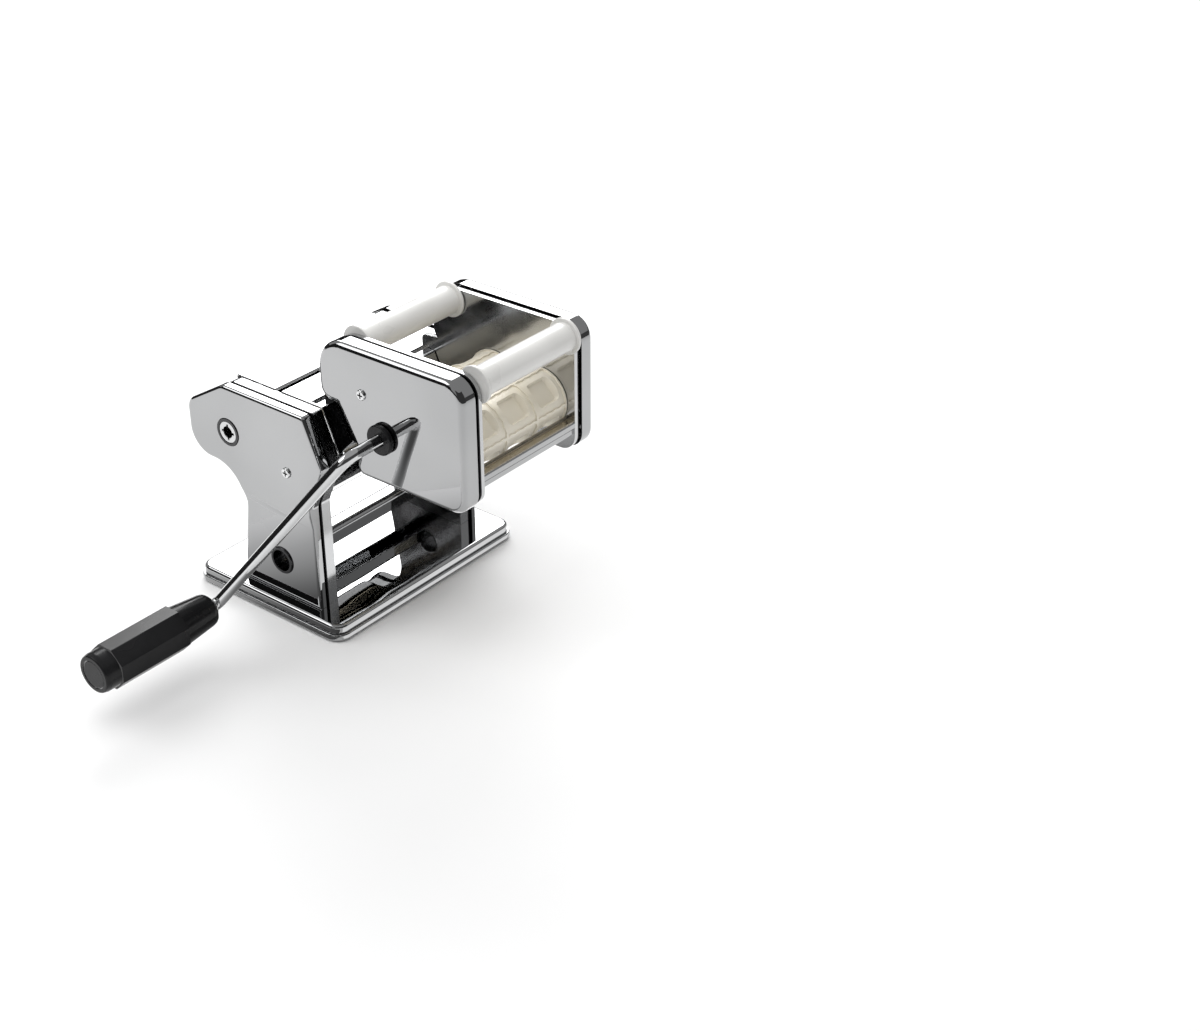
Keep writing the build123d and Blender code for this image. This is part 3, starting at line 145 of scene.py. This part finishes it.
# the direction of a metal's fine lines: the noise is long along the axis whose scale is small
ALONG_X = (0.03, 1.0, 1.0)
ALONG_Y = (1.0, 0.04, 1.0)
ALONG_Z = (1.0, 1.0, 0.1)

CHROME = metal("chrome", dark=(0.375, 0.378, 0.382), light=(0.42, 0.423, 0.427),
               rough=(0.008, 0.026), wave=0.4 * MM)
BASE_CHROME = metal("base_chrome", dark=(0.40, 0.403, 0.407), light=(0.46, 0.463, 0.467),
                    rough=(0.006, 0.02), wave=1.0 * MM)
ROD_CHROME = metal("rod_chrome", dark=(0.60, 0.605, 0.61), light=(0.68, 0.685, 0.69),
                   rough=(0.03, 0.09), wave=0.1 * MM)
FRAME_STEEL = metal("frame_steel", dark=(0.48, 0.485, 0.49), light=(0.56, 0.565, 0.57),
                    rough=(0.10, 0.22), wave=0.2 * MM, grain=ALONG_Y)
ROLLER_STEEL = metal("roller_steel", dark=(0.55, 0.555, 0.56), light=(0.63, 0.635, 0.64),
                     rough=(0.12, 0.22), wave=0.1 * MM, grain=ALONG_X)
GEAR_STEEL = metal("gear_steel", dark=(0.28, 0.28, 0.285), light=(0.36, 0.36, 0.365),
                   rough=(0.25, 0.4), wave=0.1 * MM, grain=ALONG_Z)
BUSH_STEEL = metal("bush_steel", dark=(0.05, 0.05, 0.052), light=(0.09, 0.09, 0.093),
                   rough=(0.16, 0.28), wave=0.1 * MM)
# painted shade: near-black, for the seams between sheets and the crosses in the screws' heads
SEAM_PAINTED_SHADE = metal("seam_painted_shade", dark=(0.012, 0.012, 0.013), light=(0.03, 0.03, 0.032),
                   rough=(0.4, 0.55), wave=0.1 * MM)
BLADE_STEEL = metal("blade_steel", dark=(0.42, 0.37, 0.28), light=(0.52, 0.47, 0.38),
                    rough=(0.15, 0.3), wave=0.2 * MM, grain=ALONG_X)
IVORY = plastic("ivory_plastic", dark=(0.78, 0.725, 0.60), light=(0.85, 0.80, 0.69),
                rough=(0.34, 0.5), coat=0.06, pebble=0.1)
WHITE = plastic("white_plastic", dark=(0.71, 0.705, 0.685), light=(0.77, 0.765, 0.745),
                rough=(0.24, 0.36), coat=0.25)
BLACK = plastic("black_plastic", dark=(0.006, 0.006, 0.0065), light=(0.014, 0.014, 0.015),
                rough=(0.18, 0.30), pebble=0.15, specular=0.2)
RUBBER = plastic("black_rubber", dark=(0.012, 0.012, 0.012), light=(0.03, 0.03, 0.03),
                 rough=(0.6, 0.8), pebble=0.4)

SLOT_MATERIALS = {
    "chrome_shell": CHROME, "base_chrome": BASE_CHROME, "frame_steel": FRAME_STEEL,
    "roller_steel": ROLLER_STEEL, "gear_steel": GEAR_STEEL, "blade_steel": BLADE_STEEL,
    "screw_chrome": ROD_CHROME, "crank_chrome": ROD_CHROME, "bush_steel": BUSH_STEEL,
    "drum_ivory": IVORY, "guide_white": WHITE, "black_plastic": BLACK, "pad_rubber": RUBBER,
}

# the bushes of the table clamp are dull inside, whatever their slot says
NODE_MATERIALS = {"near_clamp_bush": BUSH_STEEL, "far_clamp_bush": BUSH_STEEL}

BODY_OF = {node: body for body, members in frame["record"]["behaviour"]["bodies"].items() for node in members}
SLOT_OF = {part["node"]: part["material_slot"] for part in frame["record"]["subparts"]}


def material_for(node):
    """The material of a node: its own, or else that of its slot in the record."""
    return NODE_MATERIALS.get(node, SLOT_MATERIALS[SLOT_OF[node]])


def dress_cad_nodes():
    """Gives every carried-over node its material."""
    for node in SLOT_OF:
        obj = NODES[node]
        mat = material_for(node)
        if not obj.material_slots:
            obj.data.materials.append(mat)
        for slot in obj.material_slots:
            slot.material = mat


# ---------------------------------------------------------------- pieces

WELD = 2e-6                 # points of a node's mesh that lie this near to each other are one
CUT_SNAP = 1e-7
RIM_SNAP = 0.05 * MM        # points this near to a sheet's end are on its edge
FERRULE_INSET = 0.1 * MM    # the rod is parted from the spindle this far inside the ferrule's end
FLAT_ANGLE = 0.25           # degrees; faces that meet at less are merged before the edges are broken
CREASE_ANGLE = 32.0         # degrees; an edge sharper than this is broken
EDGE_SEGMENTS = 2
SOFT_SMOOTH_ANGLE = 50.0    # degrees; the shading breaks at an edge sharper than this
ROD_SMOOTH_ANGLE = 40.0
DARK = 1                    # the second of a piece's two materials: painted shade for seams and recesses

# the cross in a screw's head: how far it reaches from the screw's axis, how far below the head's top it
# begins, and the X of a normal below which a face is one of its walls
RECESS_REACH = 3.3 * MM
RECESS_DEEP = 0.25 * MM
RECESS_WALL = 0.6
SCREWS = ("casing_screws", "cap_screws")

# At a seam two sheets nearly touch. The outer shell's edge, its end nearest to the middle, is drawn back, and
# the inner one shows a band of painted shade at its outermost end; both edges' own end faces get painted
# shade too. The tuple holds which end it is, how far it goes back, the band.
OUTER_SHELL = (min, 2.0 * MM, 0.0)
INNER_SHELL = (max, 0.0, 1.2 * MM)
SEAMS = {
    "near_side_casing": OUTER_SHELL, "far_side_casing": OUTER_SHELL,
    "near_side_frame": INNER_SHELL, "far_side_frame": INNER_SHELL,
    "attachment_near_cap": OUTER_SHELL, "attachment_far_cap": OUTER_SHELL,
    "attachment_near_plate": INNER_SHELL, "attachment_far_plate": INNER_SHELL,
}

# how wide the broken edges of a node are, in millimetres
SOFT_EDGES = {
    "near_side_casing": 0.25, "far_side_casing": 0.25,
    "attachment_near_cap": 0.25, "attachment_far_cap": 0.25,
    "near_side_frame": 0.25, "far_side_frame": 0.25,
    "attachment_near_plate": 0.25, "attachment_far_plate": 0.25,
    "base_plate": 0.2, "top_cover": 0.25, "front_cover": 0.25, "lower_stretcher": 0.25, "roller_guard": 0.25,
    "front_crossbar": 0.2, "rear_crossbar": 0.2, "front_drum_scraper": 0.15, "rear_drum_scraper": 0.15,
    "drive_drum": 0.14, "driven_drum": 0.14, "crank_grip": 0.35, "grip_end_cap": 0.25, "crank_collar": 0.2,
    "crank_hub_bush": 0.2, "casing_screws": 0.3, "cap_screws": 0.3, "frame_screws": 0.12,
    "drive_roller": 0.45, "near_clamp_bush": 0.2, "far_clamp_bush": 0.2,
    "rear_guide_roller": 0.3, "front_guide_roller": 0.3, "thickness_knob": 0.4, "dial_ring": 0.15,
}

# the photograph shows the crank's arm mirrored in the cap, and nothing of the grip
UNMIRRORED = ("crank_grip", "grip_end_cap", "crank_spindle")


def welded(node):
    """The node's own shape as a bmesh, with its doubled points merged."""
    bm = bmesh.new()
    bm.from_mesh(NODES[node].data)
    bmesh.ops.remove_doubles(bm, verts=bm.verts, dist=WELD)
    return bm


def object_of(name, bm):
    """A new object in the scene with the shape of bm, which is freed."""
    mesh = bpy.data.meshes.new(name)
    bm.to_mesh(mesh)
    bm.free()
    obj = bpy.data.objects.new(name, mesh)
    bpy.context.scene.collection.objects.link(obj)
    return obj


def finished(obj, node, smooth_angle):
    """Gives a piece its two materials and its shading, and lets it stand for its node."""
    mesh = obj.data
    mesh.materials.append(material_for(node))
    # the second material is painted shade, for seams and recesses
    mesh.materials.append(SEAM_PAINTED_SHADE)
    mesh.shade_smooth()
    mesh.set_sharp_from_angle(angle=math.radians(smooth_angle))
    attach(obj, BODY_OF[node])
    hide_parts(node)


def open_seam(bm, end, widen, band):
    """Draws a sheet's edge back at its end in X, paints shade on that edge's end faces, and paints a band of
    shade beside it.
    """
    reach = end(abs(vert.co.x) for vert in bm.verts)
    if band > 0.0:
        for side in (-1.0, 1.0):
            geom = list(bm.verts) + list(bm.edges) + list(bm.faces)
            place = side * (reach - band)
            bmesh.ops.bisect_plane(bm, geom=geom, dist=CUT_SNAP, plane_co=(place, 0, 0), plane_no=(1, 0, 0))
        # painted shade on the band beside the edge
        for face in bm.faces:
            if abs(face.calc_center_median().x) > reach - band:
                face.material_index = DARK
    # painted shade on the edge's own end faces
    rim = {vert for vert in bm.verts if abs(abs(vert.co.x) - reach) < RIM_SNAP}
    for face in bm.faces:
        if all(vert in rim for vert in face.verts):
            face.material_index = DARK
    for vert in rim:
        vert.co.x += math.copysign(widen, vert.co.x)


def dark_recess(bm):
    """Paints shadow into the cross in the screws' heads."""
    top = max(abs(vert.co.x) for vert in bm.verts)
    mid_y = (max(vert.co.y for vert in bm.verts) + min(vert.co.y for vert in bm.verts)) / 2
    mid_z = (max(vert.co.z for vert in bm.verts) + min(vert.co.z for vert in bm.verts)) / 2
    for face in bm.faces:
        centre = face.calc_center_median()
        off_axis = math.hypot(centre.y - mid_y, centre.z - mid_z)
        is_wall = abs(face.normal.x) < RECESS_WALL
        if off_axis < RECESS_REACH and (is_wall or abs(centre.x) < top - RECESS_DEEP):
            face.material_index = DARK


def softened(node, width):
    """A node's shape with its hard edges broken, so that they catch the light as real ones do."""
    bm = welded(node)
    if node in SEAMS:
        open_seam(bm, *SEAMS[node])
    if node in SCREWS:
        dark_recess(bm)
    bmesh.ops.dissolve_limit(bm, angle_limit=math.radians(FLAT_ANGLE), verts=bm.verts, edges=bm.edges,
                             delimit={"MATERIAL"})
    obj = object_of(node + "_soft", bm)
    bevel = obj.modifiers.new("edge", "BEVEL")
    bevel.width = width
    bevel.segments = EDGE_SEGMENTS
    bevel.limit_method = "ANGLE"
    bevel.angle_limit = math.radians(CREASE_ANGLE)
    weighted = obj.modifiers.new("normals", "WEIGHTED_NORMAL")
    weighted.keep_sharp = True
    finished(obj, node, SOFT_SMOOTH_ANGLE)
    return obj


def crank_pieces():
    """The bent rod, and apart from it the spindle that turns in the grip."""
    rod_end = max(vert.co.x for vert in NODES["crank_ferrule"].data.vertices) - FERRULE_INSET
    pieces = {}
    for name, side in (("crank_rod_bent", 1.0), ("crank_spindle", -1.0)):
        bm = welded("crank_rod")
        other = [face for face in bm.faces if (face.calc_center_median().x - rod_end) * side < 0.0]
        bmesh.ops.delete(bm, geom=other, context="FACES")
        pieces[name] = object_of(name, bm)
        finished(pieces[name], "crank_rod", ROD_SMOOTH_ANGLE)
    return pieces


# ---------------------------------------------------------------- stage, light and camera

FLOOR_HALF = 6.0
FLOOR_DARK, FLOOR_LIGHT = (0.90, 0.90, 0.90), (0.92, 0.92, 0.92)
WORLD_LEVEL = 0.42

# the photograph's point of view, from the crank's side and 31 degrees down; lens and sensor in millimetres
CAMERA_PLACE = (-0.97387, -1.01515, 0.86300)
CAMERA_AZIMUTH, CAMERA_ELEVATION = -51.94, 30.61
CAMERA_LENS, CAMERA_SENSOR = 59.43, 36.0

# place, target, width and height, watts, and whether polished surfaces mirror it
SOFTBOXES = {
    "softbox_right": ((1.46, 1.14, 1.30), (0.0, 0.0, 0.12), (1.7, 1.05), 36.0, True),
    "softbox_left": ((-1.10, 1.10, 1.55), (0.0, 0.0, 0.12), (1.5, 1.1), 13.0, True),
    "softbox_top": ((-0.1, -0.1, 2.1), (0.0, 0.0, 0.1), (2.2, 2.2), 26.0, False),
}

# painted reflections, dark cards that only polished surfaces see: first and last compass angle in degrees
# from +X towards +Y, radius, bottom, top, level, number of steps
PAINTED_REFLECTION_FLAGS = {
    "horizon_painted_reflection": (0.0, 360.0, 2.3, -0.02, 0.55, 0.04, 72),
    "front_painted_reflection": (200.0, 300.0, 1.9, 0.0, 1.7, 0.07, 24),
    "front_right_painted_reflection": (300.0, 350.0, 1.9, 0.0, 0.45, 0.09, 24),
    "left_painted_reflection": (110.0, 175.0, 1.45, 0.0, 1.05, 0.02, 24),
    "back_painted_reflection": (5.0, 80.0, 1.35, 0.0, 0.68, 0.015, 24),
}

# A painted reflection of the floor's shade beside the base, for polished surfaces alone: a triangle whose
# slanted side is where the shade is as bright as the floor around it. The stops are metres along SHADE_ALONG,
# and the level there.
CARD_LIFT = 1.5 * MM        # above the floor
SHADE_CORNERS = ((-0.405, -0.09), (-0.1062, 0.1514), (-0.1062, -0.09), (-0.1062, 0.0))
SHADE_ALONG = (-0.63, 0.78, 0.0)
SHADE_STOPS = ((0.0, 0.09), (0.06, 0.19), (0.078, 0.32), (0.108, 0.57), (0.136, 0.78), (0.165, 1.08),
               (0.185, 1.26))

# a painted reflection of the bright floor before the base, again for polished surfaces alone
PAINTED_GLOW_CORNERS = ((-0.10, -0.082), (-0.10, -0.14), (0.20, -0.082), (0.20, -0.14))
PAINTED_GLOW_LEVEL = 1.4


def stage_floor():
    """A wide pale floor under the base."""
    mesh = bpy.data.meshes.new("floor")
    half = FLOOR_HALF
    corners = [(-half, -half, 0), (half, -half, 0), (half, half, 0), (-half, half, 0)]
    mesh.from_pydata(corners, [], [(0, 1, 2, 3)])
    floor = bpy.data.objects.new("floor", mesh)
    bpy.context.scene.collection.objects.link(floor)
    mat, tree, bsdf = node_material("floor_paper")
    cloud = noise(tree, scale=3.0)
    tree.links.new(tinted(tree, cloud, FLOOR_DARK, FLOOR_LIGHT), bsdf.inputs["Base Color"])
    bsdf.inputs["Roughness"].default_value = 0.9
    bsdf.inputs["Specular IOR Level"].default_value = 0.1
    mesh.materials.append(mat)


def world_light():
    """An even, pale surround."""
    world = bpy.data.worlds.new("studio")
    bpy.context.scene.world = world
    world.use_nodes = True
    back = world.node_tree.nodes["Background"]
    back.inputs["Color"].default_value = (1.0, 1.0, 1.0, 1.0)
    back.inputs["Strength"].default_value = WORLD_LEVEL


def turned(direction):
    """The rotation of a lamp or camera that looks along a direction."""
    return direction.to_track_quat("-Z", "Y").to_euler()


def softbox(name, place, target, size, watts, mirrored):
    """A rectangle of light, aimed at a target."""
    light = bpy.data.lights.new(name, "AREA")
    light.shape = "RECTANGLE"
    light.size, light.size_y = size
    light.energy = watts
    obj = bpy.data.objects.new(name, light)
    obj.location = place
    obj.rotation_euler = turned(Vector(target) - Vector(place))
    obj.visible_glossy = mirrored
    bpy.context.scene.collection.objects.link(obj)


def painted_reflection_card(name, corners, level):
    """A glowing strip between pairs of corners that is no lamp: only polished surfaces see it, as a painted
    reflection; returns its tree and its shader.
    """
    mesh = bpy.data.meshes.new(name)
    count = len(corners) // 2
    faces = [(2 * i, 2 * i + 1, 2 * i + 3, 2 * i + 2) for i in range(count - 1)]
    mesh.from_pydata(corners, [], faces)
    card = bpy.data.objects.new(name, mesh)
    bpy.context.scene.collection.objects.link(card)
    mat, tree, glow = node_material(name, "ShaderNodeEmission")
    glow.inputs["Color"].default_value = (level, level, level, 1.0)
    mesh.materials.append(mat)
    card.visible_camera = False
    card.visible_diffuse = False
    card.visible_shadow = False
    card.visible_transmission = False
    return tree, glow


def bent_card(name, start, end, radius, low, high, level, steps):
    """A painted reflection on a card bent round the part, from one compass angle to another."""
    corners = []
    for i in range(steps + 1):
        angle = math.radians(start + (end - start) * i / steps)
        x, y = radius * math.cos(angle), radius * math.sin(angle)
        corners += [(x, y, low), (x, y, high)]
    painted_reflection_card(name, corners, level)


def lifted(corners):
    """Corners on the floor, raised by a card's lift."""
    return [(x, y, CARD_LIFT) for x, y in corners]


def painted_shade_card(name, corners, along, stops):
    """A card whose glow changes along a direction, painted shade in reflections: stops are (metres, level).
    """
    tree, glow = painted_reflection_card(name, corners, 1.0)
    coords = tree.nodes.new("ShaderNodeTexCoord")
    dot = tree.nodes.new("ShaderNodeVectorMath")
    dot.operation = "DOT_PRODUCT"
    dot.inputs[1].default_value = along
    tree.links.new(coords.outputs["Object"], dot.inputs[0])
    far, bright = stops[-1][0], max(level for place, level in stops)
    span = tree.nodes.new("ShaderNodeMapRange")
    span.inputs["From Max"].default_value = far
    tree.links.new(dot.outputs["Value"], span.inputs["Value"])
    ramp = tree.nodes.new("ShaderNodeValToRGB")
    elements = ramp.color_ramp.elements
    while len(elements) < len(stops):
        elements.new(0.5)
    for element, (place, level) in zip(elements, stops):
        element.position = place / far
        element.color = (level / bright, level / bright, level / bright, 1.0)
    tree.links.new(span.outputs["Result"], ramp.inputs["Fac"])
    tree.links.new(ramp.outputs["Color"], glow.inputs["Color"])
    glow.inputs["Strength"].default_value = bright


def studio():
    """Large softboxes behind and above, and painted reflections that only polished surfaces see: dark flags
    round the part, and two cards low over the floor.
    """
    view = bpy.context.scene.view_settings
    view.view_transform = "Standard"
    view.look = "None"
    world_light()
    for name, values in SOFTBOXES.items():
        softbox(name, *values)
    # painted reflections: dark glowing cards seen only by polished surfaces
    for name, values in PAINTED_REFLECTION_FLAGS.items():
        bent_card(name, *values)
    # painted shade: the floor's shadow beside the base, mirrored in polished faces
    painted_shade_card("floor_painted_shade", lifted(SHADE_CORNERS), SHADE_ALONG, SHADE_STOPS)
    # painted reflection: the bright floor before the base, seen only by polished surfaces
    painted_reflection_card("front_painted_glow", lifted(PAINTED_GLOW_CORNERS), PAINTED_GLOW_LEVEL)


def camera():
    """Looks at the part as the photograph does."""
    azimuth, elevation = math.radians(CAMERA_AZIMUTH), math.radians(CAMERA_ELEVATION)
    back = Vector((math.sin(azimuth) * math.cos(elevation), -math.cos(azimuth) * math.cos(elevation),
                   math.sin(elevation)))
    cam = bpy.data.cameras.new("camera")
    cam.sensor_width = CAMERA_SENSOR
    cam.lens = CAMERA_LENS
    cam.clip_end = 50.0
    obj = bpy.data.objects.new("camera", cam)
    obj.location = CAMERA_PLACE
    obj.rotation_euler = turned(-back)
    bpy.context.scene.collection.objects.link(obj)
    bpy.context.scene.camera = obj


# ---------------------------------------------------------------- the model

dress_cad_nodes()
new_pieces = crank_pieces()
for soft_node, edge_width in SOFT_EDGES.items():
    new_pieces[soft_node] = softened(soft_node, edge_width * MM)
for unmirrored in UNMIRRORED:
    new_pieces[unmirrored].visible_glossy = False
stage_floor()
studio()
camera()
